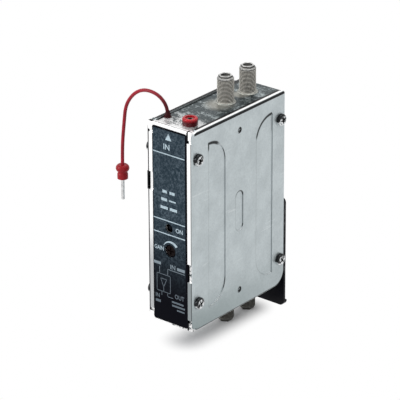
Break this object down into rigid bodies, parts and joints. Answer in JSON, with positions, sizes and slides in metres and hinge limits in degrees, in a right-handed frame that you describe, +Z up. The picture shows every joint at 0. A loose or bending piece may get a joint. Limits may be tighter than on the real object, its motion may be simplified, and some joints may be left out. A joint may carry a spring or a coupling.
{
  "type": "television signal amplifier",
  "caption": "Upright sheet-metal television signal amplifier: threaded coaxial sockets above and below, supply socket, captive supply lead with plug, gain trimmer and rear bracket.",
  "frame": {"origin": "where the axis of the fixing hole in the rear bracket meets the bracket's back face", "axes": "+Z up, +Y back to the carrier, +X to the right-hand side seen from the label; the label faces -Y"},
  "size_m": [0.0641, 0.0854, 0.1504],
  "materials": {
    "case_metal": "tinned sheet, dull and a little mottled",
    "cover_metal": "plated pressed sheet, satin",
    "screw_metal": "zinc plated, satin",
    "label_print": "printed plate, dark slate at the top to near black below",
    "bracket_black": "black coated, satin",
    "socket_metal": "nickel plated turned brass",
    "insulator_white": "white moulded",
    "contact_brass": "tinned brass",
    "solder": "dull solder",
    "bush_red": "deep red moulded",
    "lead_red": "red sheath, satin",
    "plug_red": "red moulded, satin",
    "plug_metal": "bright nickel",
    "board_green": "coated glass-fibre board",
    "chip_black": "black moulded",
    "chip_tan": "tan ceramic chips",
    "ferrite": "dark sintered ferrite",
    "control_blue": "blue moulded",
    "rotor_dark": "dark moulded, with a worn slot",
    "lamp_resin": "dark clear resin, unlit",
    "lead_wire": "tinned wire",
    "tab_metal": "plain metal tab",
    "can_sleeve": "dark blue sleeved can"
  },
  "bodies": {
    "amplifier": {"amplifier_chips": "chip_black", "board_clips": "case_metal", "bracket_rivets": "case_metal", "chassis": "case_metal", "chip_capacitors": "chip_tan", "circuit_board": "board_green", "cover_left": "cover_metal", "cover_pillars": "screw_metal", "cover_right": "cover_metal", "cover_screws_left": "screw_metal", "cover_screws_right": "screw_metal", "filter_cores": "ferrite", "front_label": "label_print", "gain_control_body": "control_blue", "gain_control_legs": "lead_wire", "lamp_legs": "lead_wire", "lamp_lens": "lamp_resin", "lead_grommet": "lead_red", "lead_inner_end": "lead_red", "lead_plug_collar": "plug_red", "lead_plug_pin": "plug_metal", "low_front_socket_contact": "contact_brass", "low_front_socket_insulator": "insulator_white", "low_front_socket_shell": "socket_metal", "low_rear_socket_contact": "contact_brass", "low_rear_socket_insulator": "insulator_white", "low_rear_socket_shell": "socket_metal", "mounting_bracket": "bracket_black", "regulator_tab": "tab_metal", "shield_wall": "case_metal", "solder_rings": "solder", "supply_capacitors": "can_sleeve", "supply_lead": "lead_red", "supply_link": "contact_brass", "supply_socket_bush": "bush_red", "supply_socket_sleeve": "plug_metal", "top_front_socket_contact": "contact_brass", "top_front_socket_insulator": "insulator_white", "top_front_socket_shell": "socket_metal", "top_rear_socket_contact": "contact_brass", "top_rear_socket_insulator": "insulator_white", "top_rear_socket_shell": "socket_metal", "voltage_regulator": "chip_black"},
    "gain_adjuster": {"gain_rotor": "rotor_dark"}
  },
  "joints": [
    {"name": "gain_adjust", "type": "hinge", "parent": "amplifier", "child": "gain_adjuster", "pos_m": [-0.0003, -0.0817, 0.0527], "axis": [0, 1, 0], "range_deg": [-135, 135]}
  ]
}
